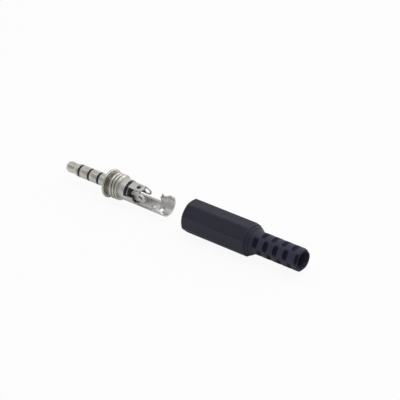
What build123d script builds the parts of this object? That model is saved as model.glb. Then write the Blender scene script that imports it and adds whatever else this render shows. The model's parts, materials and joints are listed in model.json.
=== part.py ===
from build123d import *
from math import cos, radians
import os

# A 3.5 mm four-pole solder jack plug: turned contacts nested in the pin, solder lugs stacked
# behind the body, a sheet ground lug with a cable clamp, and a black moulded screw-on cover that
# lies taken off behind it. Millimetres. The origin is the centre of the flange's front face, the
# shoulder that meets the socket. +X runs along the axis to the cable end and +Z is up.

# Pin
pin_r = 1.75            # outside of the contact pin
pin_length = 15.0       # shoulder to tip
nose_r = 1.0            # flat front of the tip
nose_length = 0.3       # of the blunt stretch behind that front
head_r = 1.57           # widest place of the tip
head_at = 1.0           # behind the tip's front
neck_r = 1.45           # waist behind the tip, where the socket's spring latches
neck_at = 2.9           # behind the tip's front
flare_length = 0.95     # from the waist up to the full pin
tip_length = 4.5        # tip's front to the first black ring
ring_1_length = 2.7
ring_2_length = 2.6
gap_1 = 0.7             # width of each black ring
gap_2 = 0.7
gap_3 = 0.8

# Nested rod and tubes inside the pin
rod_r = 0.4             # rod of the tip
liner_wall = 0.2        # black tube between two contacts
tube_wall = 0.2         # metal tube of a ring contact
nest_gap = 0.01         # between one tube and the next

# Body with flange and thread, turned in one piece
flange_r = 4.0
flange_length = 0.65
flange_round = 0.22
body_length = 4.5       # shoulder to the rear face
thread_crest_r = 3.55
thread_root_r = 3.25
thread_pitch = 1.2
thread_first = 1.8      # shoulder to the middle of the first crest
thread_crests = 3       # the last one runs on to the rear face
crest_width = 0.36
thread_flank = 0.27     # length along the axis from crest to root
edge_break = 0.15       # small turned chamfers

# Ground lug: one folded sheet with collar, trough and cable clamp
plug_roll = 16.0        # how far the plug lies rolled about its axis, in degrees
sheet = 0.4             # its thickness
lug_r = 2.9             # outside of the collar and of the trough's root
collar_length = 2.2
near_root_length = 3.3  # the deeper stretch of trough behind the collar, on the near side
far_root_length = 1.3
root_half_angle = 101.0 # how far its walls reach up from the bottom, in degrees
trough_half_angle = 48.0
lug_reach = 15.4        # rear face of the body to the clamp's end
clamp_length = 4.5
clamp_spread = 0.05     # how much the trough widens towards the clamp, in radius
ear_from = 0.45         # clamp's front back to where the edges of its ears start
edge_drop = 0.45        # length over which the root's edge drops to the trough's
# Edges of the two ears, as (along, above the axis): from the clamp's front, then from its end
near_ear_corner = []
near_ear_front = [(0, -0.9), (1.3, -0.05), (2.6, 0.4)]
near_ear_back = [(-0.3, -0.4), (1.0, -1.0)]
far_ear_corner = [(0.3, -1.94), (-0.4, -0.95), (0.15, -0.4)]
far_ear_front = [(0.5, 0.55), (1.85, 0)]
far_ear_back = [(-1.0, 1.05), (0, 0.85), (1.0, 0.5)]
clamp_hole_r = 0.55
clamp_sink_r = 0.97     # rim of the hole's countersink, inside the trough
clamp_hole_from_end = 3.1
dimple_r = 0.6
dimple_from_end = 5.6
dimple_height = 0.15

# Stack of solder lugs and black washers behind the body
base_disc_r = 2.75
base_disc = 0.6         # thickness of the base insulator's disc
washer_front = 0.4      # front washer
washer_rear = 0.6       # rear washer, which holds the middle lug's base in a pocket
lug_sheet = 0.28        # thickness of the three solder lugs
lug_foot_r = 1.35       # round foot of each side lug
top_foot_r = 2.4        # larger foot of the top lug, which shows between the discs
foot_gap = 0.02
rivet_r = 0.75
rivet_height = 0.2

top_lug_out = 2.6       # outer face of the top lug above the axis
top_lug_width = 2.4
top_lug_shift = 0.15    # its middle, beside the axis
top_lug_reach = 7.4     # rear face of the body to the lug's end
side_lug_out = 1.75     # outer face of each side lug beside the axis, on the near and the far side
side_lug_low = -0.55    # lower edge
side_lug_root_high = 1.45
near_lug_high = 2.2     # upper edge of the wide end
near_lug_reach = 8.9
far_lug_high = 1.95
far_lug_reach = 8.5
side_flare_at = 5.9     # where the upper edge has reached its full height
solder_hole_r = 0.7
solder_hole_from_end = 1.6
far_hole_r = 0.85
far_hole_from_end = 1.3

# Cover: one moulding with eight flats, and a notched bend relief at its cable end
cover_travel = 26.75    # how far it lies off its seat behind the flange
seat_gap = 0.05         # left between cover and flange when it is screwed home
cover_flats = 8.65      # across flats
cover_sides = 8
cover_corner = 0.8
barrel_length = 20.2
shoulder_length = 1.9
shoulder_r = 3.95       # round collar behind the flats
shoulder_flat = 0.48    # length of that collar at its full radius
shoulder_round = 0.28   # length over which it then rounds off to a step
step_r = 3.6
step_length = 0.28
front_break = 0.3
thread_slack = 0.1      # cover's bore round the thread's crests
thread_bore_length = 4.2
cavity_r = 3.35
cavity_end = 1.2        # wall between the cavity and the barrel's rear edge
cone_length = 1.3
relief_r = 3.07
relief_length = 13.7
relief_round = 0.25
cable_bore_r = 2.5
notch_pitch = 1.55      # from one set of notches to the next
notch_first = 2.46      # barrel's rear edge to the first set
end_notch_in = 0.25     # relief's end back to the last set, which the end cuts through
notches_in_set = 3
notch_turn = 32.0       # angle of the first notch of the first set, in degrees
notch_floor = 2.65      # height of the notch's floor above the axis
notch_top_width = 1.6   # along the axis at the relief's outside
notch_floor_width = 1.1

clear = 1.0             # how far a cut runs past what it cuts

# Places along the axis that follow from the sizes
tip_x = -pin_length
gap_1_x = tip_x + tip_length
ring_1_x = gap_1_x + gap_1
gap_2_x = ring_1_x + ring_1_length
ring_2_x = gap_2_x + gap_2
gap_3_x = ring_2_x + ring_2_length
sleeve_x = gap_3_x + gap_3
rear_x = body_length
collar_x = rear_x + collar_length
top_foot_x = collar_x + base_disc
washer_front_x = top_foot_x + lug_sheet
middle_foot_x = washer_front_x + washer_front
tip_foot_x = middle_foot_x + washer_rear
rivet_x = tip_foot_x + lug_sheet
washer_r = top_lug_out - lug_sheet - foot_gap
clamp_end_x = rear_x + lug_reach
clamp_x = clamp_end_x - clamp_length
cover_x = flange_length + seat_gap + cover_travel
barrel_end_x = cover_x + barrel_length
relief_x = barrel_end_x + shoulder_length
relief_end_x = relief_x + relief_length
end_notch_x = relief_end_x - end_notch_in
notch_sets = int((end_notch_x - barrel_end_x - notch_first) / notch_pitch)

# Radii of the nested tubes, from the rod outwards
liner_1_in = rod_r + nest_gap
liner_1_out = liner_1_in + liner_wall
tube_1_in = liner_1_out + nest_gap
tube_1_out = tube_1_in + tube_wall
liner_2_in = tube_1_out + nest_gap
liner_2_out = liner_2_in + liner_wall
tube_2_in = liner_2_out + nest_gap
tube_2_out = tube_2_in + tube_wall
liner_3_in = tube_2_out + nest_gap
liner_3_out = liner_3_in + liner_wall
sleeve_bore_r = liner_3_out + nest_gap


def turned(points):
    """A solid turned about X from an outline of (x, radius) points."""
    return revolve(Plane.XZ * make_face(Polyline(points, close=True)), Axis.X)


def tube(start, end, outer, inner=0.0):
    """A plain round bar or tube along X."""
    return turned([(start, inner), (end, inner), (end, outer), (start, outer)])


def rolled(solid):
    """The plug's lugs turned about the axis to the way the plug lies."""
    return Rot(X=plug_roll) * solid


def save(name, solid):
    export_step(solid, f"parts/{name}.step")


def tip_contact():
    outline = [
        (tip_x, 0), (tip_x, nose_r), (tip_x + nose_length, (nose_r + head_r + edge_break) / 2),
        (tip_x + head_at - edge_break, head_r), (tip_x + head_at + edge_break, head_r),
        (tip_x + neck_at, neck_r), (tip_x + neck_at + edge_break, neck_r),
        (tip_x + neck_at + flare_length, pin_r), (gap_1_x, pin_r), (gap_1_x, rod_r),
        (rivet_x, rod_r), (rivet_x, rivet_r), (rivet_x + rivet_height / 2, rivet_r),
        (rivet_x + rivet_height, rod_r), (rivet_x + rivet_height, 0),
    ]
    return turned(outline)


def stepped(start, step, end, outer, neck, bore):
    """A ring flush with the pin, with a thinner tube from its back end to the rear."""
    return turned([(start, bore), (end, bore), (end, neck), (step, neck), (step, outer), (start, outer)])


def sleeve_body():
    crest, root = thread_crest_r, thread_root_r
    outline = [(sleeve_x, sleeve_bore_r), (sleeve_x, pin_r), (0, pin_r), (0, flange_r),
               (flange_length, flange_r), (flange_length, root)]
    for turn in range(thread_crests):
        start = thread_first + turn * thread_pitch - crest_width / 2
        end = start + crest_width
        outline += [(start - thread_flank, root), (start, crest), (end, crest), (end + thread_flank, root)]
    outline = outline[:-2]
    outline += [(rear_x - edge_break, crest), (rear_x, crest - edge_break), (rear_x, sleeve_bore_r)]
    body = turned(outline)
    rim = body.edges().filter_by(GeomType.CIRCLE).filter_by(lambda e: abs(e.radius - flange_r) < 1e-6)
    return fillet(rim, min(flange_round, flange_length / 2 - nest_gap))


def base_insulator():
    """Black disc on the collar's end. It is narrower at the bottom, between the root's walls."""
    spigot_r = lug_r - sheet - nest_gap
    hole = tube_2_out + nest_gap
    disc = tube(collar_x, top_foot_x, base_disc_r, hole)
    step = edge_height(root_half_angle) + foot_gap
    disc &= Pos(0, 0, step) * Box(4 * lug_reach, 4 * lug_r, 4 * lug_r,
                                  align=(Align.CENTER, Align.CENTER, Align.MIN))
    return rolled(disc + tube(rear_x, top_foot_x, spigot_r, hole))


def side_above(edge, y_from, y_to):
    """What is cut off above a line of edges drawn in X and Z, between two sideways places."""
    top = lug_r + clear
    start, end = edge[0] @ 0, edge[-1] @ 1
    rim = Polyline([(end.X, end.Y), (end.X, top), (start.X, top), (start.X, start.Y)])
    return Pos(0, y_to, 0) * extrude(Plane.XZ * make_face([*edge, rim]), y_to - y_from)


def edge_height(half_angle):
    """Height of the trough's edge when its walls reach this far up from the bottom."""
    return -lug_r * cos(radians(half_angle))


def trough_edge(root_length):
    """Upper edge of the trough on one side, from the collar to the clamp's ear."""
    end = collar_x + root_length
    root, low = edge_height(root_half_angle), edge_height(trough_half_angle)
    return [Polyline([(collar_x, root), (end - edge_drop, root), (end, low), (clamp_x - ear_from, low)])]


def ear_edge(corner, front, back):
    """An ear's upper edge: straight round its front corner, then curved to just past the clamp's end."""
    start = (clamp_x - ear_from, edge_height(trough_half_angle))
    corner, front = [[(clamp_x + x, z) for x, z in points] for points in (corner, front)]
    curve = front + [(clamp_end_x + x, z) for x, z in back]
    return [Polyline([start] + corner + front[:1]), Spline(curve)]


def ground_lug():
    inner = lug_r - sheet
    wide = lug_r + clear
    clamp_r = lug_r + clamp_spread
    root_end = collar_x + near_root_length
    body = turned([(rear_x, inner), (root_end, inner), (clamp_x, clamp_r - sheet), (clamp_end_x, clamp_r - sheet),
                   (clamp_end_x, clamp_r), (clamp_x, clamp_r), (root_end, lug_r), (rear_x, lug_r)])
    body -= side_above(trough_edge(near_root_length), -wide, 0)
    body -= side_above(trough_edge(far_root_length), 0, wide)
    body -= side_above(ear_edge(near_ear_corner, near_ear_front, near_ear_back), -wide, 0)
    body -= side_above(ear_edge(far_ear_corner, far_ear_front, far_ear_back), 0, wide)
    body -= Pos(clamp_end_x - clamp_hole_from_end, 0, 0) * countersunk_hole(clamp_r)
    return rolled(body + dimple(clamp_end_x - dimple_from_end, inner))


def countersunk_hole(outer):
    """What is cut out of the clamp's bottom: a hole that widens upwards through the sheet."""
    widening = (clamp_sink_r - clamp_hole_r) / sheet
    run = clear * widening
    return Pos(0, 0, -outer - clear) * Cylinder(
        clamp_hole_r, 2 * clear, align=(Align.CENTER, Align.CENTER, Align.MIN)) + Pos(0, 0, -outer) * Cone(
        clamp_hole_r, clamp_sink_r + run, sheet + clear, align=(Align.CENTER, Align.CENTER, Align.MIN))


def dimple(x, inner):
    """A small round bump pressed up into the trough."""
    ball_r = (dimple_r ** 2 + dimple_height ** 2) / (2 * dimple_height)
    ball = Pos(x, 0, -inner + dimple_height - ball_r) * Sphere(ball_r)
    return ball & (Pos(x, 0, -inner) * Cylinder(dimple_r, sheet))


def lug_foot(x, foot_r, tab):
    """The flat foot of a solder lug: round about the axis, with a tab out to the bend."""
    return extrude(Plane.YZ.offset(x) * (Circle(foot_r) + tab), lug_sheet)


def blade(length, low, high, hole_r, hole_from_end):
    """Outline of a solder lug's blade: straight lower edge, round end, hole near the end."""
    end_r = (high - low) / 2
    middle = (high + low) / 2
    strip = Pos((length - end_r) / 2, middle) * Rectangle(length - end_r, 2 * end_r)
    hole = Pos(length - hole_from_end, middle) * Circle(hole_r)
    return strip + Pos(length - end_r, middle) * Circle(end_r) - hole


def round_bend(body, corner):
    """The outside of a fold in the sheet, rounded by its own thickness."""
    edge = body.edges().sort_by_distance(Vector(*corner))[0]
    return fillet(edge, lug_sheet - nest_gap)


def top_lug():
    half = top_lug_width / 2
    length = rear_x + top_lug_reach - top_foot_x
    low, high = top_lug_shift - half, top_lug_shift + half
    outline = blade(length, low, high, solder_hole_r, solder_hole_from_end)
    plate = Plane.XY.offset(top_lug_out - lug_sheet) * Pos(top_foot_x, 0) * outline
    tab = Pos(top_lug_shift, top_lug_out / 2) * Rectangle(top_lug_width, top_lug_out)
    body = lug_foot(top_foot_x, top_foot_r, tab) + extrude(plate, lug_sheet)
    body = round_bend(body, (top_foot_x, top_lug_shift, top_lug_out))
    return rolled(body - tube(0, tip_foot_x, tube_2_out + nest_gap))


def side_tab():
    return Pos(side_lug_out / 2, (side_lug_low + side_lug_root_high) / 2) * Rectangle(
        side_lug_out, side_lug_root_high - side_lug_low)


def side_lug(x, bore, reach, high, hole_r, hole_from_end):
    """A solder lug whose blade stands upright beside the axis, on the +Y side."""
    outline = blade(rear_x + reach - x, side_lug_low, high, hole_r, hole_from_end)
    outline -= make_face(Polyline([(0, side_lug_root_high), (side_flare_at + rear_x - x, high), (0, high)],
                                  close=True))
    plate = Plane.XZ.offset(-side_lug_out) * Pos(x, 0) * outline
    body = lug_foot(x, lug_foot_r, side_tab()) + extrude(plate, lug_sheet)
    body = round_bend(body, (x, side_lug_out, (side_lug_low + side_lug_root_high) / 2))
    return body - tube(x - clear, x + clear, bore)


def far_lug():
    bore = tube_1_out + nest_gap
    return rolled(side_lug(middle_foot_x, bore, far_lug_reach, far_lug_high, far_hole_r, far_hole_from_end))


def near_lug():
    bore = rod_r + nest_gap
    lug = side_lug(tip_foot_x, bore, near_lug_reach, near_lug_high, solder_hole_r, solder_hole_from_end)
    return rolled(mirror(lug, Plane.XZ))


def front_washer():
    return tube(washer_front_x, middle_foot_x, washer_r, tube_1_out + nest_gap)


def rear_washer():
    """A black washer with a pocket for the middle lug's foot and a way out for its blade."""
    body = tube(middle_foot_x, tip_foot_x, washer_r, rod_r + nest_gap)
    pocket = offset(Circle(lug_foot_r) + side_tab(), foot_gap)
    body -= extrude(Plane.YZ.offset(middle_foot_x) * pocket, lug_sheet + foot_gap)
    blade_in = side_lug_out - lug_sheet - foot_gap
    body -= Pos(middle_foot_x, blade_in, (side_lug_low + far_lug_high) / 2) * Box(
        2 * washer_rear, washer_r, far_lug_high - side_lug_low + 2 * foot_gap,
        align=(Align.CENTER, Align.MIN, Align.CENTER))
    return rolled(body)


def barrel():
    """The cover's grip: eight flats with round corners, broken at the front, eased at the back."""
    flat_r = cover_flats / 2
    outline = RegularPolygon(flat_r, cover_sides, major_radius=False, rotation=180 / cover_sides)
    outline = fillet(outline.vertices(), cover_corner)
    body = extrude(Plane.YZ.offset(cover_x) * outline, barrel_length)
    corner_r = flat_r / cos(radians(180 / cover_sides))
    ease = corner_r - shoulder_r
    return body & turned([(cover_x, 0), (cover_x, flat_r - front_break / 2), (cover_x + front_break, corner_r),
                          (barrel_end_x - ease, corner_r), (barrel_end_x, flat_r - front_break / 2),
                          (barrel_end_x, 0)])


def shoulder_and_relief():
    round_x = barrel_end_x + shoulder_flat
    step_x = round_x + shoulder_round
    return turned([
        (barrel_end_x - front_break, 0), (barrel_end_x - front_break, shoulder_r),
        (round_x, shoulder_r), (step_x, (shoulder_r + step_r) / 2),
        (step_x, step_r), (step_x + step_length, step_r), (relief_x, relief_r),
        (relief_end_x - relief_round, relief_r), (relief_end_x, relief_r - relief_round),
        (relief_end_x, 0),
    ])


def notch(x, turn):
    """A straight notch across the relief, with sloping sides and a flat floor close to the bore."""
    top = relief_r + clear
    spread = (notch_top_width - notch_floor_width) / 2 * (top - notch_floor) / (relief_r - notch_floor)
    half = notch_floor_width / 2
    profile = make_face(Polyline([(x - half, notch_floor), (x + half, notch_floor),
                                  (x + half + spread, top), (x - half - spread, top)], close=True))
    cut = Pos(0, relief_r, 0) * extrude(Plane.XZ * profile, 2 * relief_r)
    return Rot(X=turn - 90) * cut


def cover():
    bore_r = thread_crest_r + thread_slack
    seat_end = cover_x + thread_bore_length
    back = barrel_end_x - cavity_end
    hollow = turned([
        (cover_x, 0), (cover_x, bore_r + front_break), (cover_x + front_break, bore_r),
        (seat_end, bore_r), (seat_end, cavity_r), (back, cavity_r),
        (back + cone_length, cable_bore_r), (relief_end_x, cable_bore_r), (relief_end_x, 0),
    ])
    body = barrel() + shoulder_and_relief() - hollow
    places = [barrel_end_x + notch_first + step * notch_pitch for step in range(notch_sets)]
    for step, x in enumerate(places + [end_notch_x]):
        first = notch_turn + (180 / notches_in_set) * (step % 2)
        for i in range(notches_in_set):
            body -= notch(x, first + i * 360 / notches_in_set)
    return body


os.makedirs("parts", exist_ok=True)
save("tip_contact", tip_contact())
save("tip_insulator", stepped(gap_1_x, ring_1_x, middle_foot_x + lug_sheet, pin_r, liner_1_out, liner_1_in))
save("ring_1_contact", stepped(ring_1_x, gap_2_x, middle_foot_x + lug_sheet, pin_r, tube_1_out, tube_1_in))
save("ring_1_insulator", stepped(gap_2_x, ring_2_x, washer_front_x, pin_r, liner_2_out, liner_2_in))
save("ring_2_contact", stepped(ring_2_x, gap_3_x, washer_front_x, pin_r, tube_2_out, tube_2_in))
save("ring_2_insulator", stepped(gap_3_x, sleeve_x, rear_x, pin_r, liner_3_out, liner_3_in))
save("sleeve_body", sleeve_body())
save("ground_lug", ground_lug())
save("base_insulator", base_insulator())
save("ring_2_lug", top_lug())
save("front_washer", front_washer())
save("ring_1_lug", far_lug())
save("rear_washer", rear_washer())
save("tip_lug", near_lug())
save("cover", cover())
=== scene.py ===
# %% [markdown]
# # A solder mini jack plug, taken apart
# The object is a 3.5 mm four-pole plug with its black screw-on cover lying behind it. The solids
# come from a CAD model at real size. This notebook gives them their looks: it cuts the screw
# threads, softens the edges, and builds one material for each real finish. Every piece stays
# where the CAD model puts it, so nothing here is moved or resized. Sizes of the object and of the
# patterns on it are in millimetres, and those of the studio are in metres.

# %% Load the frame
import json
import math

import bmesh
import bpy
from mathutils import Matrix, Vector


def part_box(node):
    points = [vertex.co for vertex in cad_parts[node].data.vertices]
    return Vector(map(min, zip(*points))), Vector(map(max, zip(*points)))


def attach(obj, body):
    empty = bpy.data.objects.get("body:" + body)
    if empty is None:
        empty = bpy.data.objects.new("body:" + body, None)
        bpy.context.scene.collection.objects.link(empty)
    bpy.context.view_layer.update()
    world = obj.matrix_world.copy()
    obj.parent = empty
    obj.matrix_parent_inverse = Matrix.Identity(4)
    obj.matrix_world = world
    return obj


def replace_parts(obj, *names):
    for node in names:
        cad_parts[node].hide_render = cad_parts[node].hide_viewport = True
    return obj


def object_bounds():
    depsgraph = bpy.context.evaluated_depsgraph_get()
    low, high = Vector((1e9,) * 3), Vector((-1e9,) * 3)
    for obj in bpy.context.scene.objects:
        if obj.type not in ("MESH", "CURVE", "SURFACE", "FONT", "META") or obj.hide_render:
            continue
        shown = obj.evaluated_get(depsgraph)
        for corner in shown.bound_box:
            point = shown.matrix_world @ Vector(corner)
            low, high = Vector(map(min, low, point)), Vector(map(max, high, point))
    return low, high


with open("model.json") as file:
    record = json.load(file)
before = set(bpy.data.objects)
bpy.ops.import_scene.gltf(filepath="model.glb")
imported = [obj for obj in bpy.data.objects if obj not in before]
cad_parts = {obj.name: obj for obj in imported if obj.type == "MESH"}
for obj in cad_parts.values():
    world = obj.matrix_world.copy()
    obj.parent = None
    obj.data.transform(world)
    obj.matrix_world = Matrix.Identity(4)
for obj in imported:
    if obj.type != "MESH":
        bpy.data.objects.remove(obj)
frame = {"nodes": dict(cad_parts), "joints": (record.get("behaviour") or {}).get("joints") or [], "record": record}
cad_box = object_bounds()
MM = 0.001
print("CAD nodes:", ", ".join(sorted(frame["nodes"])))

# %% [markdown]
# ## Two small tools
# Colours are written as the sRGB hex values that a paint program shows, while shaders work in
# linear light, so one function converts them. A second function adds a shader node, sets it up and
# links it in one call, which keeps each material short enough to read as a recipe.

# %% Colours and nodes


def linear(hex_code):
    """An sRGB hex colour as linear red, green, blue and alpha."""
    parts = [int(hex_code[i:i + 2], 16) / 255 for i in (1, 3, 5)]
    return [c / 12.92 if c <= 0.04045 else ((c + 0.055) / 1.055) ** 2.4 for c in parts] + [1.0]


def add(tree, kind, inputs=None, **settings):
    """Adds a node, sets its properties, and gives each input a value or a link."""
    node = tree.nodes.new(kind)
    for name, value in settings.items():
        setattr(node, name, value)
    for key, value in (inputs or {}).items():
        if isinstance(value, bpy.types.NodeSocket):
            tree.links.new(value, node.inputs[key])
        else:
            node.inputs[key].default_value = value
    return node


def per(millimetres):
    """The texture scale whose pattern repeats about every so many millimetres."""
    return 1 / (millimetres * MM)


def new_material(name):
    """An empty node material, and its tree."""
    made = bpy.data.materials.new(name)
    made.use_nodes = True
    made.node_tree.nodes.clear()
    return made, made.node_tree


# %% [markdown]
# ## Camera
# The photograph looks down on the plug from its lower left through a long lens: the near end of
# the cover is only a little larger than the far end of the pin. The aim point puts the pin's tip
# and the cover's end on the pixels where the photograph shows them.

# %% Camera
AZIMUTH = 38.2
ELEVATION = 30.4
DISTANCE = 0.4945        # metres
FOCAL_WIDTHS = 4.75      # focal length in picture widths
AIM = Vector((28.02, 3.0, 3.41)) * MM

azimuth, elevation = math.radians(AZIMUTH), math.radians(ELEVATION)
towards_camera = Vector((math.sin(azimuth) * math.cos(elevation),
                         -math.cos(azimuth) * math.cos(elevation),
                         math.sin(elevation)))
camera = bpy.data.objects.new("camera", bpy.data.cameras.new("camera"))
camera.data.lens = camera.data.sensor_width * FOCAL_WIDTHS
camera.location = AIM + towards_camera * DISTANCE
camera.rotation_euler = towards_camera.to_track_quat("Z", "Y").to_euler()
camera.data.clip_start = 0.01
camera.data.clip_end = 20
bpy.context.scene.collection.objects.link(camera)
bpy.context.scene.camera = camera
print("camera", DISTANCE, "m away, lens", round(camera.data.lens), "mm")

# %% [markdown]
# ## Studio
# The plug lies on a white sweep. The camera sees the sweep mostly as pure white, with a share of
# its real shading left in so that the plug keeps a faint shadow. Shiny surfaces see more of that
# real shading, because the dark contact line under the plug is what gives the metal its depth.
# Round the sweep stands a light tent. It is bright near the floor, greyer overhead, and dimmest on
# the camera's side, so a turned surface is grey where it faces the camera and gets lighter towards
# its edges.

# %% Studio
BACKDROP = "#ffffff"
FLOOR_PAINT = "#f4f4f4"
FLOOR_TO_CAMERA = 0.92   # share of the sweep that is plain white for the camera
FLOOR_TO_GLOSS = 0.15    # and for reflections
FLOOR_SIZE = 6.0         # metres
TENT_TO_GLOSS = 0.1      # share of the tent that is plain white for reflections
TENT_BRIGHT = "#f2f2f2"
TENT_DIM = "#a3a3a5"
DIM_SIDE = Vector((0.15, -0.92, 0.36))
DIM_FROM = 0.75          # how squarely a direction faces the dim side where the tent is dimmest
CEILING_DIMMING = 0.6    # how far the tent overhead goes from bright to dim
CLIMB_FROM = 0.05        # heights up the tent, from floor 0 to top 1, between which it turns grey
CLIMB_TO = 0.85


def plain_share(tree, to_camera, to_gloss):
    """How much plain backdrop a ray sees, from the camera, off gloss or through glass."""
    paths = add(tree, "ShaderNodeLightPath")
    shiny = add(tree, "ShaderNodeMath", {0: paths.outputs["Is Glossy Ray"],
                                         1: paths.outputs["Is Transmission Ray"]}, operation="MAXIMUM")
    gloss = add(tree, "ShaderNodeMath", {0: shiny.outputs[0], 1: to_gloss}, operation="MULTIPLY")
    direct = add(tree, "ShaderNodeMath", {0: paths.outputs["Is Camera Ray"], 1: to_camera},
                 operation="MULTIPLY")
    return add(tree, "ShaderNodeMath", {0: gloss.outputs[0], 1: direct.outputs[0]},
               operation="MAXIMUM").outputs[0]


def floor_paint():
    """Matt white sweep that keeps a share of its own shading."""
    made, tree = new_material("white_sweep")
    paint = add(tree, "ShaderNodeBsdfDiffuse", {"Color": linear(FLOOR_PAINT)})
    glow = add(tree, "ShaderNodeEmission", {"Color": linear(BACKDROP), "Strength": 1.0})
    mix = add(tree, "ShaderNodeMixShader", {0: plain_share(tree, FLOOR_TO_CAMERA, FLOOR_TO_GLOSS),
                                            1: paint.outputs[0], 2: glow.outputs[0]})
    add(tree, "ShaderNodeOutputMaterial", {"Surface": mix.outputs[0]})
    return made


def light_tent():
    """White to the camera; for everything else bright low down, greyer above, dim on one side."""
    world = bpy.data.worlds.new("light_tent")
    world.use_nodes = True
    tree = world.node_tree
    tree.nodes.clear()
    place = add(tree, "ShaderNodeTexCoord")
    facing = add(tree, "ShaderNodeVectorMath", {0: place.outputs["Generated"], 1: DIM_SIDE},
                 operation="DOT_PRODUCT")
    side = add(tree, "ShaderNodeMapRange", {"Value": facing.outputs["Value"], "From Min": 0.0,
                                            "From Max": DIM_FROM}, interpolation_type="SMOOTHSTEP")
    height = add(tree, "ShaderNodeSeparateXYZ", {0: place.outputs["Generated"]})
    climb = add(tree, "ShaderNodeMapRange", {"Value": height.outputs["Z"], "From Min": CLIMB_FROM,
                                             "From Max": CLIMB_TO, "To Max": CEILING_DIMMING},
                interpolation_type="SMOOTHSTEP")
    dimming = add(tree, "ShaderNodeMath", {0: side.outputs[0], 1: climb.outputs[0]}, operation="MAXIMUM")
    tent = add(tree, "ShaderNodeMix", {"Factor": dimming.outputs[0], "A": linear(TENT_BRIGHT),
                                       "B": linear(TENT_DIM)}, data_type="RGBA")
    shown = add(tree, "ShaderNodeMix", {"Factor": plain_share(tree, 1.0, TENT_TO_GLOSS),
                                        "A": tent.outputs["Result"], "B": linear(BACKDROP)},
                data_type="RGBA")
    glow = add(tree, "ShaderNodeBackground", {"Color": shown.outputs["Result"], "Strength": 1.0})
    add(tree, "ShaderNodeOutputWorld", {"Surface": glow.outputs[0]})
    return world


bpy.context.scene.view_settings.view_transform = "Standard"
bpy.context.scene.world = light_tent()

bm = bmesh.new()
bmesh.ops.create_grid(bm, x_segments=1, y_segments=1, size=FLOOR_SIZE / 2)
bmesh.ops.translate(bm, verts=bm.verts, vec=(0, 0, cad_box[0].z))
floor = bpy.data.objects.new("sweep", bpy.data.meshes.new("sweep"))
bm.to_mesh(floor.data)
bm.free()
floor.data.materials.append(floor_paint())
bpy.context.scene.collection.objects.link(floor)
print("floor at", round(cad_box[0].z / MM, 2), "mm")

# %% [markdown]
# ## Lamps
# A large soft box overhead lights the set evenly. A small one above the pin's side draws the fine
# highlights along the pin and on the crests of the thread, and one behind the plug lifts the far
# edges. Their power is low enough for a colour to render about as it is written.

# %% Lamps
OBJECT_CENTRE = (cad_box[0] + cad_box[1]) / 2


def soft_box(name, place, side, watts):
    """A square area lamp that faces the object."""
    lamp = bpy.data.lights.new(name, "AREA")
    lamp.size = side
    lamp.energy = watts
    holder = bpy.data.objects.new(name, lamp)
    holder.location = OBJECT_CENTRE + Vector(place)
    holder.rotation_euler = Vector(place).to_track_quat("Z", "Y").to_euler()
    bpy.context.scene.collection.objects.link(holder)


soft_box("overhead_box", place=(0.12, 0.05, 0.55), side=0.40, watts=0.8)
soft_box("pin_box", place=(-0.32, -0.14, 0.485), side=0.12, watts=0.055)
soft_box("rear_box", place=(0.25, 0.50, 0.30), side=0.35, watts=0.6)

# %% [markdown]
# ## Nickel plate on turned brass
# The pin's contacts and the body are brass, turned on a lathe and then plated with nickel. The
# plate follows the tool's marks, which run round the axis. A one-dimensional noise along the
# outline gives them: its coordinate is the distance along the axis plus the distance from it, so
# the same marks become rings on the pin and circles on the flange's faces. Real marks are about
# 0.05 mm apart. They are drawn at 0.16 mm, because finer ones can't be seen from this far. Tumbling
# has left the plate satin rather than mirror bright. In the roots of the thread the colour is
# painted darker with the depth, a painted shade for the hollows between the crests.

# %% Nickel plate on turned brass
SPREAD = {"From Min": 0.3, "From Max": 0.7}     # most of a noise's values lie between these
MARK_SPACING = 0.16
MARK_DEPTH = 0.01
MARK_ROUGHNESS = {"To Min": 0.24, "To Max": 0.34}
STAIN_SIZE = 2.2
STAIN_ROUGHNESS = {"To Min": -0.03, "To Max": 0.04}     # what a stain adds to it
NICKEL_LIGHT = "#d8d6cd"
NICKEL_DARK = "#c5c2b8"
# colour of the painted shade in the thread's roots
ROOT_PAINTED_SHADE = "#7c7971"
THREAD_MIDDLE = 2.55     # along the axis, and how far the thread reaches each way
THREAD_REACH = 1.85
ROOT_SHADE_FROM = 3.27   # distances from the axis, between which the painted shade fades out
ROOT_SHADE_TO = 3.52


def axis_place(tree):
    """Object coordinates, the distance along the plug's axis, and the distance from it."""
    place = add(tree, "ShaderNodeTexCoord").outputs["Object"]
    parts = add(tree, "ShaderNodeSeparateXYZ", {0: place})
    across = add(tree, "ShaderNodeCombineXYZ", {"Y": parts.outputs["Y"], "Z": parts.outputs["Z"]})
    radius = add(tree, "ShaderNodeVectorMath", {0: across.outputs[0]}, operation="LENGTH")
    return place, parts.outputs["X"], radius.outputs["Value"]


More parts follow.
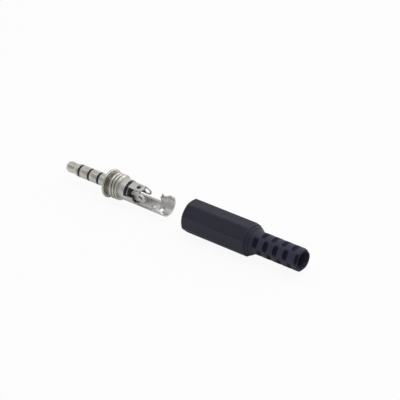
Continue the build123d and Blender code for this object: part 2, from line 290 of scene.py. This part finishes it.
def turned_nickel():
    """Satin plate with the tool's rings, a few stains, and painted shade in the thread's roots."""
    made, tree = new_material("nickel_plate_on_turned_brass")
    place, along, radius = axis_place(tree)
    travel = add(tree, "ShaderNodeMath", {0: along, 1: radius}, operation="ADD")
    marks = add(tree, "ShaderNodeTexNoise", {"W": travel.outputs[0], "Scale": per(MARK_SPACING),
                                             "Detail": 3.0}, noise_dimensions="1D")
    stain = add(tree, "ShaderNodeTexNoise", {"Vector": place, "Scale": per(STAIN_SIZE), "Detail": 3.0})
    stained = add(tree, "ShaderNodeMapRange", {"Value": stain.outputs[0], **SPREAD})
    tint = add(tree, "ShaderNodeMix", {"Factor": stained.outputs[0], "A": linear(NICKEL_LIGHT),
                                       "B": linear(NICKEL_DARK)}, data_type="RGBA")
    threaded = add(tree, "ShaderNodeMath", {0: along, 1: THREAD_MIDDLE * MM, 2: THREAD_REACH * MM},
                   operation="COMPARE")
    depth = add(tree, "ShaderNodeMapRange", {"Value": radius, "From Min": ROOT_SHADE_FROM * MM,
                                             "From Max": ROOT_SHADE_TO * MM, "To Min": 1.0, "To Max": 0.0})
    # painted shade: the thread's roots are darkened by their depth
    root_shade_mask = add(tree, "ShaderNodeMath", {0: threaded.outputs[0], 1: depth.outputs[0]}, operation="MULTIPLY")
    colour = add(tree, "ShaderNodeMix", {"Factor": root_shade_mask.outputs[0], "A": tint.outputs["Result"],
                                         "B": linear(ROOT_PAINTED_SHADE)}, data_type="RGBA")
    turned = add(tree, "ShaderNodeMapRange", {"Value": marks.outputs[0], **SPREAD, **MARK_ROUGHNESS})
    dulled = add(tree, "ShaderNodeMapRange", {"Value": stain.outputs[0], **SPREAD, **STAIN_ROUGHNESS})
    satin = add(tree, "ShaderNodeMath", {0: turned.outputs[0], 1: dulled.outputs[0]}, operation="ADD")
    bump = add(tree, "ShaderNodeBump", {"Height": marks.outputs[0], "Strength": 0.3,
                                        "Distance": MARK_DEPTH * MM})
    shader = add(tree, "ShaderNodeBsdfPrincipled", {
        "Base Color": colour.outputs["Result"], "Metallic": 1.0, "Roughness": satin.outputs[0],
        "Normal": bump.outputs[0]})
    add(tree, "ShaderNodeOutputMaterial", {"Surface": shader.outputs[0]})
    return made


# %% [markdown]
# ## Nickel plate on stamped sheet
# The ground lug and the three solder lugs are punched from rolled sheet, bent and plated in a
# barrel. Rolling leaves faint lines along the strip, and tumbling in the barrel blunts them to a
# satin. The noise is stretched along the strip for the first and left even for the second.

# %% Nickel plate on stamped sheet
SHEET_LIGHT = "#dedddb"
SHEET_DARK = "#cbcac6"
ROLLING_LENGTH = 3.0
ROLLING_WIDTH = 0.18
ROLLING_ROUGHNESS = {"To Min": 0.34, "To Max": 0.48}
TUMBLED_GRAIN = 0.12
SHEET_RELIEF = 0.008


def stamped_nickel():
    """Satin plate with rolling lines along the strip, blunted by tumbling."""
    made, tree = new_material("nickel_plate_on_stamped_sheet")
    place = add(tree, "ShaderNodeTexCoord").outputs["Object"]
    stretch = add(tree, "ShaderNodeMapping", {
        "Vector": place, "Scale": (per(ROLLING_LENGTH), per(ROLLING_WIDTH), per(ROLLING_WIDTH))})
    lines = add(tree, "ShaderNodeTexNoise", {"Vector": stretch.outputs[0], "Scale": 1.0, "Detail": 2.0})
    satin = add(tree, "ShaderNodeTexNoise", {"Vector": place, "Scale": per(TUMBLED_GRAIN), "Detail": 2.0})
    stain = add(tree, "ShaderNodeTexNoise", {"Vector": place, "Scale": per(STAIN_SIZE), "Detail": 3.0})
    stained = add(tree, "ShaderNodeMapRange", {"Value": stain.outputs[0], **SPREAD})
    tint = add(tree, "ShaderNodeMix", {"Factor": stained.outputs[0], "A": linear(SHEET_LIGHT),
                                       "B": linear(SHEET_DARK)}, data_type="RGBA")
    dulled = add(tree, "ShaderNodeMapRange", {"Value": lines.outputs[0], **SPREAD, **ROLLING_ROUGHNESS})
    relief = add(tree, "ShaderNodeMath", {0: lines.outputs[0], 1: satin.outputs[0]}, operation="ADD")
    bump = add(tree, "ShaderNodeBump", {"Height": relief.outputs[0], "Strength": 0.3,
                                        "Distance": SHEET_RELIEF * MM})
    shader = add(tree, "ShaderNodeBsdfPrincipled", {
        "Base Color": tint.outputs["Result"], "Metallic": 1.0, "Roughness": dulled.outputs[0],
        "Normal": bump.outputs[0]})
    add(tree, "ShaderNodeOutputMaterial", {"Surface": shader.outputs[0]})
    return made


# %% [markdown]
# ## Black nylon
# The rings between the contacts and the washers between the lugs are moulded black nylon. It is a
# little glossy where the mould was polished, and its black leans to blue beside the warm metal.

# %% Black nylon
NYLON_BLACK = "#1a1a22"
NYLON_GREY = "#26262f"
NYLON_CLOUD = 0.8
NYLON_GRAIN = 0.1
NYLON_RELIEF = 0.006
NYLON_ROUGHNESS = {"To Min": 0.4, "To Max": 0.54}


def black_nylon():
    """Bluish black with a slight gloss and a fine moulded grain."""
    made, tree = new_material("black_nylon")
    place = add(tree, "ShaderNodeTexCoord").outputs["Object"]
    cloud = add(tree, "ShaderNodeTexNoise", {"Vector": place, "Scale": per(NYLON_CLOUD), "Detail": 3.0})
    grain = add(tree, "ShaderNodeTexNoise", {"Vector": place, "Scale": per(NYLON_GRAIN), "Detail": 2.0})
    clouded = add(tree, "ShaderNodeMapRange", {"Value": cloud.outputs[0], **SPREAD})
    tint = add(tree, "ShaderNodeMix", {"Factor": clouded.outputs[0], "A": linear(NYLON_BLACK),
                                       "B": linear(NYLON_GREY)}, data_type="RGBA")
    dulled = add(tree, "ShaderNodeMapRange", {"Value": cloud.outputs[0], **SPREAD, **NYLON_ROUGHNESS})
    bump = add(tree, "ShaderNodeBump", {"Height": grain.outputs[0], "Strength": 0.2,
                                        "Distance": NYLON_RELIEF * MM})
    shader = add(tree, "ShaderNodeBsdfPrincipled", {
        "Base Color": tint.outputs["Result"], "IOR": 1.53, "Specular IOR Level": 0.35,
        "Roughness": dulled.outputs[0], "Normal": bump.outputs[0]})
    add(tree, "ShaderNodeOutputMaterial", {"Surface": shader.outputs[0]})
    return made


# %% [markdown]
# ## Black moulded PVC
# The cover is one moulding whose tail has to bend with the cable. The mould was spark eroded,
# which gives the flats a fine satin grain, and the black is slightly blue. Handling has rubbed the
# outside of the tail a shade lighter, and the notches are painted darker and less glossy, a
# painted shade for hollows the light hardly reaches. So along the tail, colour and gloss are mixed
# by the distance from the axis.

# %% Black moulded PVC
COVER_BLACK = "#1a1a2c"
COVER_GREY = "#222236"
TAIL_GREY = "#2c2c40"
# the notches' painted shade: a darker colour, and a tint that damps their gloss
NOTCH_PAINTED_SHADE = "#17172b"
NOTCH_SHADED_GLOSS = "#8484a4"
COVER_CLOUD = 4.0
COVER_GRAIN = 0.14
COVER_RELIEF = 0.02
COVER_ROUGHNESS = {"To Min": 0.46, "To Max": 0.58}
TAIL_START = 49.5        # along the axis, where the notched tail begins
NOTCH_SHADE_FROM = 3.05  # distances from the axis, between which a notch darkens
NOTCH_SHADE_TO = 2.82
BORE_RADIUS = 2.58       # inside this the moulding is as light as on the tail's outside


def moulded_cover():
    """Bluish black with a satin grain, rubbed lighter on the tail, with painted shade in its notches."""
    made, tree = new_material("black_moulded_pvc")
    place, along, radius = axis_place(tree)
    cloud = add(tree, "ShaderNodeTexNoise", {"Vector": place, "Scale": per(COVER_CLOUD), "Detail": 4.0})
    grain = add(tree, "ShaderNodeTexNoise", {"Vector": place, "Scale": per(COVER_GRAIN), "Detail": 3.0})
    clouded = add(tree, "ShaderNodeMapRange", {"Value": cloud.outputs[0], **SPREAD})
    tint = add(tree, "ShaderNodeMix", {"Factor": clouded.outputs[0], "A": linear(COVER_BLACK),
                                       "B": linear(COVER_GREY)}, data_type="RGBA")
    tail = add(tree, "ShaderNodeMath", {0: along, 1: TAIL_START * MM}, operation="GREATER_THAN")
    deep = add(tree, "ShaderNodeMapRange", {"Value": radius, "From Min": NOTCH_SHADE_TO * MM,
                                            "From Max": NOTCH_SHADE_FROM * MM, "To Min": 1.0, "To Max": 0.0})
    outside = add(tree, "ShaderNodeMath", {0: radius, 1: BORE_RADIUS * MM}, operation="GREATER_THAN")
    notched = add(tree, "ShaderNodeMath", {0: tail.outputs[0], 1: outside.outputs[0]}, operation="MULTIPLY")
    # painted shade: the notches are darkened and their gloss damped by depth
    notch_painted_shade = add(tree, "ShaderNodeMath", {0: notched.outputs[0], 1: deep.outputs[0]}, operation="MULTIPLY")
    rubbed = add(tree, "ShaderNodeMix", {"Factor": tail.outputs[0], "A": tint.outputs["Result"],
                                         "B": linear(TAIL_GREY)}, data_type="RGBA")
    colour = add(tree, "ShaderNodeMix", {"Factor": notch_painted_shade.outputs[0], "A": rubbed.outputs["Result"],
                                         "B": linear(NOTCH_PAINTED_SHADE)}, data_type="RGBA")
    gloss = add(tree, "ShaderNodeMix", {"Factor": notch_painted_shade.outputs[0], "A": linear("#ffffff"),
                                        "B": linear(NOTCH_SHADED_GLOSS)}, data_type="RGBA")
    dulled = add(tree, "ShaderNodeMapRange", {"Value": cloud.outputs[0], **SPREAD, **COVER_ROUGHNESS})
    bump = add(tree, "ShaderNodeBump", {"Height": grain.outputs[0], "Strength": 0.35,
                                        "Distance": COVER_RELIEF * MM})
    shader = add(tree, "ShaderNodeBsdfPrincipled", {
        "Base Color": colour.outputs["Result"], "IOR": 1.52, "Specular IOR Level": 0.4,
        "Specular Tint": gloss.outputs["Result"], "Roughness": dulled.outputs[0],
        "Normal": bump.outputs[0]})
    add(tree, "ShaderNodeOutputMaterial", {"Surface": shader.outputs[0]})
    return made


FINISHES = {
    "nickel_plate": turned_nickel(),
    "plated_sheet": stamped_nickel(),
    "black_insulator": black_nylon(),
    "black_moulding": moulded_cover(),
}
SLOTS = {part["node"]: part["material_slot"] for part in frame["record"]["subparts"]}
print("finishes:", ", ".join(material.name for material in FINISHES.values()))

# %% [markdown]
# ## Softened edges
# No real edge is perfectly sharp. A turned edge is broken by the tool, a punched one is rolled over
# and a moulded one has the radius of its cutter, and that small radius is what catches the light.
# The CAD nodes arrive as loose triangles. Live modifiers weld them, join what is flat and bevel the
# sharp edges without touching the meshes, so each node keeps its exact shape underneath. The turned
# pieces further down are drawn with their rounding, so they only need a finish.

# %% Softened edges
SHARP = math.radians(32)
FLAT = math.radians(0.4)
WELD_WITHIN = 0.002 * MM
EDGE_STEPS = 2
EDGE_RADIUS = {"nickel_plate": 0.06, "plated_sheet": 0.05, "black_insulator": 0.05, "black_moulding": 0.2}


def give_finish(piece, finish):
    """Gives a piece its material."""
    piece.data.materials.clear()
    piece.data.materials.append(FINISHES[finish])


def dress(name):
    """Joins a CAD node's triangles into faces, bevels its sharp edges and gives it its finish."""
    node = frame["nodes"][name]
    node.modifiers.new("weld", "WELD").merge_threshold = WELD_WITHIN
    flat = node.modifiers.new("join_flat_triangles", "DECIMATE")
    flat.decimate_type = "DISSOLVE"
    flat.angle_limit = FLAT
    soft = node.modifiers.new("soft_edges", "BEVEL")
    soft.width = EDGE_RADIUS[SLOTS[name]] * MM
    soft.segments = EDGE_STEPS
    soft.limit_method = "ANGLE"
    soft.angle_limit = SHARP
    soft.harden_normals = True
    give_finish(node, SLOTS[name])


REPLACED = {"sleeve_body"}
for name in sorted(set(frame["nodes"]) - REPLACED):
    dress(name)
print("dressed", len(frame["nodes"]) - len(REPLACED), "nodes")

# %% [markdown]
# ## Turning
# The body and its threads are lathe work, so they are made as on a lathe. An outline is drawn above
# the axis and spun round it. A plain spin closes into a ring. With an advance on each step the same
# spin climbs along the axis, which is just how a threading tool is fed, and gives a true
# right-handed screw. The outlines are drawn in millimetres and scaled to metres at the end.

# %% Turning
STEPS = 144              # faces round one turn
ALMOST = 1e-4
NEAR = 1e-3


def outline(bm, points, closed=False):
    """A chain of edges above the axis, through points given as (along, out)."""
    verts = [bm.verts.new((along, 0, out)) for along, out in points]
    ends = verts[1:] + verts[:1] if closed else verts[1:]
    return verts + [bm.edges.new(pair) for pair in zip(verts, ends)]


def spin(bm, geom, turns=1.0, advance=0.0):
    """Spins an outline about the axis. The advance is how far it climbs in a whole turn."""
    bmesh.ops.spin(bm, geom=geom, cent=(0, 0, 0), axis=(1, 0, 0), dvec=(advance / STEPS, 0, 0),
                   angle=math.tau * turns, steps=round(STEPS * turns), use_merge=not advance,
                   use_normal_flip=False, use_duplicate=False)


def out_from_axis(vert):
    """A vertex's distance from the axis."""
    return math.hypot(vert.co.y, vert.co.z)


def set_out(vert, out):
    """Moves a vertex straight out or in, to a distance from the axis."""
    scale = out / out_from_axis(vert)
    vert.co.y *= scale
    vert.co.z *= scale


def cut_across(bm, along, keep=None):
    """Cuts the mesh across the axis, and clears the side that isn't kept."""
    bmesh.ops.bisect_plane(bm, geom=bm.verts[:] + bm.edges[:] + bm.faces[:], dist=ALMOST,
                           plane_co=(along, 0, 0), plane_no=(1, 0, 0), clear_outer=keep == "front",
                           clear_inner=keep == "rear")


def open_edges(bm, along):
    """The edges of the holes that lie in one plane across the axis."""
    return [e for e in bm.edges if e.is_boundary and all(abs(v.co.x - along) < NEAR for v in e.verts)]


def finished(bm, name, body, finish):
    """Scales a turned mesh to metres and makes it a piece that rides on a body."""
    bmesh.ops.recalc_face_normals(bm, faces=bm.faces)
    bmesh.ops.scale(bm, vec=(MM, MM, MM), verts=bm.verts)
    print(name, len(bm.faces), "faces,", sum(e.is_boundary for e in bm.edges), "open edges")
    piece = bpy.data.objects.new(name, bpy.data.meshes.new(name))
    bm.to_mesh(piece.data)
    bm.free()
    piece.data.shade_smooth()
    piece.data.set_sharp_from_angle(angle=SHARP)
    bpy.context.scene.collection.objects.link(piece)
    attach(piece, body)
    give_finish(piece, finish)
    return piece


# %% [markdown]
# ## The threaded body
# In the CAD model the thread is three round ridges. Here it is a real screw: several crests are
# drawn side by side and spun through one turn while they advance by one pitch, so that the last row
# of points meets the first and is merged with it. The crests' corners are rounded in the outline.
# The ends are then cut square. Next to the flange the crests fade into the root, where the tool was
# drawn back, and at the rear they are turned down to a small chamfer. The rear face is drawn in
# from the chamfer's edge. The flange, the pin's sleeve and the bore are a second outline, bridged to
# the thread at each end. The bridged edges have unlike numbers of points, and the bridge crosses
# some of its faces inside the body, so this mesh is closed but its faces don't all point one way.

# %% The threaded body
sleeve_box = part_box("sleeve_body")
SLEEVE_FRONT = sleeve_box[0].x / MM
BODY_REAR = sleeve_box[1].x / MM
FLANGE_RADIUS = sleeve_box[1].y / MM
PIN_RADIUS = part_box("ring_1_contact")[1].y / MM
FLANGE_LENGTH = 0.65
FLANGE_ROUND = 0.22
FLANGE_STEPS = 4
SLEEVE_BORE = 1.46
PITCH = 1.0
CREST_RADIUS = 3.55
ROOT_RADIUS = 3.25
CREST_WIDTH = 0.3
FLANK_LENGTH = 0.25      # along the axis, from crest to root
CREST_ABOVE = 2.154      # along the axis, where the first crest stands right above it
REAR_CHAMFER = 0.15
FADE_FROM = 1.45         # along the axis, where the crests begin to rise out of the root
FADE_LENGTH = 0.4
ROOT_STEP = 0.12         # width of the ring that joins the thread to the flange
REAR_STEP = 2.0          # radius inside the collar, where the rear face's rings meet
SLIVER = 0.012           # edges shorter than this are left over from the cuts
CREST_SOFT = 0.05        # how far a crest's corner is rounded along the axis, each way
CREST_DROP = 0.04


def thread_outline():
    """Crests and roots side by side, from before the flange to past the rear face."""
    half = CREST_WIDTH / 2
    first = math.floor((FLANGE_LENGTH - CREST_ABOVE) / PITCH) - 1
    last = math.ceil((BODY_REAR - CREST_ABOVE) / PITCH)
    points = []
    for turn in range(first, last + 1):
        middle = CREST_ABOVE + turn * PITCH
        rise = [(half + FLANK_LENGTH, ROOT_RADIUS), (half + CREST_SOFT, CREST_RADIUS - CREST_DROP),
                (half - CREST_SOFT, CREST_RADIUS)]
        points += [(middle - along, out) for along, out in rise]
        points += [(middle + along, out) for along, out in reversed(rise)]
    return points


def turned_height(along, out):
    """The thread's distance from the axis, once it is faded at the flange and chamfered behind."""
    kept = min(1, max(0, (along - FADE_FROM) / FADE_LENGTH))
    chamfered = CREST_RADIUS - max(0, along - (BODY_REAR - REAR_CHAMFER))
    return min(ROOT_RADIUS + (out - ROOT_RADIUS) * kept, chamfered)


def cut_thread(bm):
    """The screw between its two end planes, open at both."""
    spin(bm, outline(bm, thread_outline()), advance=PITCH)
    bmesh.ops.remove_doubles(bm, verts=bm.verts, dist=NEAR)
    cut_across(bm, FLANGE_LENGTH, keep="rear")
    cut_across(bm, BODY_REAR, keep="front")
    for along in (FADE_FROM, FADE_FROM + FADE_LENGTH, BODY_REAR - REAR_CHAMFER):
        cut_across(bm, along)
    bmesh.ops.dissolve_degenerate(bm, edges=bm.edges, dist=SLIVER)
    for vert in bm.verts:
        if vert.is_boundary:
            vert.co.x = FLANGE_LENGTH if vert.co.x < BODY_REAR / 2 else BODY_REAR
        set_out(vert, turned_height(vert.co.x, out_from_axis(vert)))


def draw_rear_face_in(bm):
    """The outer part of the rear face, from the chamfer's edge to inside the collar."""
    ring = bmesh.ops.extrude_edge_only(bm, edges=open_edges(bm, BODY_REAR))["geom"]
    for vert in [part for part in ring if isinstance(part, bmesh.types.BMVert)]:
        set_out(vert, REAR_STEP)


def turn_flange_and_bore(bm):
    """Flange, sleeve and bore, with both edges of the flange's rim rounded."""
    rest = outline(bm, [(FLANGE_LENGTH, ROOT_RADIUS + ROOT_STEP), (FLANGE_LENGTH, FLANGE_RADIUS),
                        (0, FLANGE_RADIUS), (0, PIN_RADIUS), (SLEEVE_FRONT, PIN_RADIUS),
                        (SLEEVE_FRONT, SLEEVE_BORE), (BODY_REAR, SLEEVE_BORE)])
    spin(bm, rest)
    rims = [e for e in bm.edges if all(abs(out_from_axis(v) - FLANGE_RADIUS) < ALMOST for v in e.verts)
            and abs(e.verts[0].co.x - e.verts[1].co.x) < ALMOST]
    bmesh.ops.bevel(bm, geom=rims, offset=FLANGE_ROUND, offset_type="OFFSET", segments=FLANGE_STEPS,
                    profile=0.5, affect="EDGES", material=-1)


def threaded_body():
    bm = bmesh.new()
    cut_thread(bm)
    draw_rear_face_in(bm)
    turn_flange_and_bore(bm)
    for along in (FLANGE_LENGTH, BODY_REAR):
        bmesh.ops.bridge_loops(bm, edges=open_edges(bm, along))
    return finished(bm, "threaded_body", "plug", "nickel_plate")


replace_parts(threaded_body(), "sleeve_body")

# %% [markdown]
# ## The thread inside the cover
# The cover's mouth holds the matching thread, one moulded ridge that winds round the bore. Its
# outline is spun with the same advance, and it starts where it will sit half way between the
# body's crests once the cover is home. Its back lies inside the cover's wall.

# %% The thread inside the cover
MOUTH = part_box("cover")[0].x / MM
TRAVEL = frame["joints"][0]["range_m"][1] / MM
RIDGE = [(-0.38, 3.70), (-0.32, 3.55), (-0.12, 3.32), (0.12, 3.32), (0.32, 3.55), (0.38, 3.70)]
RIDGE_LEAD_IN = 0.85     # mouth to the middle of the ridge's start
RIDGE_TURNS = 2.1


def cover_thread():
    start = MOUTH + RIDGE_LEAD_IN
    between_crests = CREST_ABOVE + PITCH / 2 + TRAVEL
    early = (between_crests - start) / PITCH % 1
    bm = bmesh.new()
    spin(bm, outline(bm, [(start + along, out) for along, out in RIDGE], closed=True), RIDGE_TURNS, PITCH)
    bmesh.ops.holes_fill(bm, edges=[e for e in bm.edges if e.is_boundary], sides=0)
    back = Matrix.Rotation(-math.tau * early, 3, "X")
    bmesh.ops.rotate(bm, verts=bm.verts, cent=(0, 0, 0), matrix=back)
    return finished(bm, "cover_thread", "cover", "black_moulding")


cover_thread()
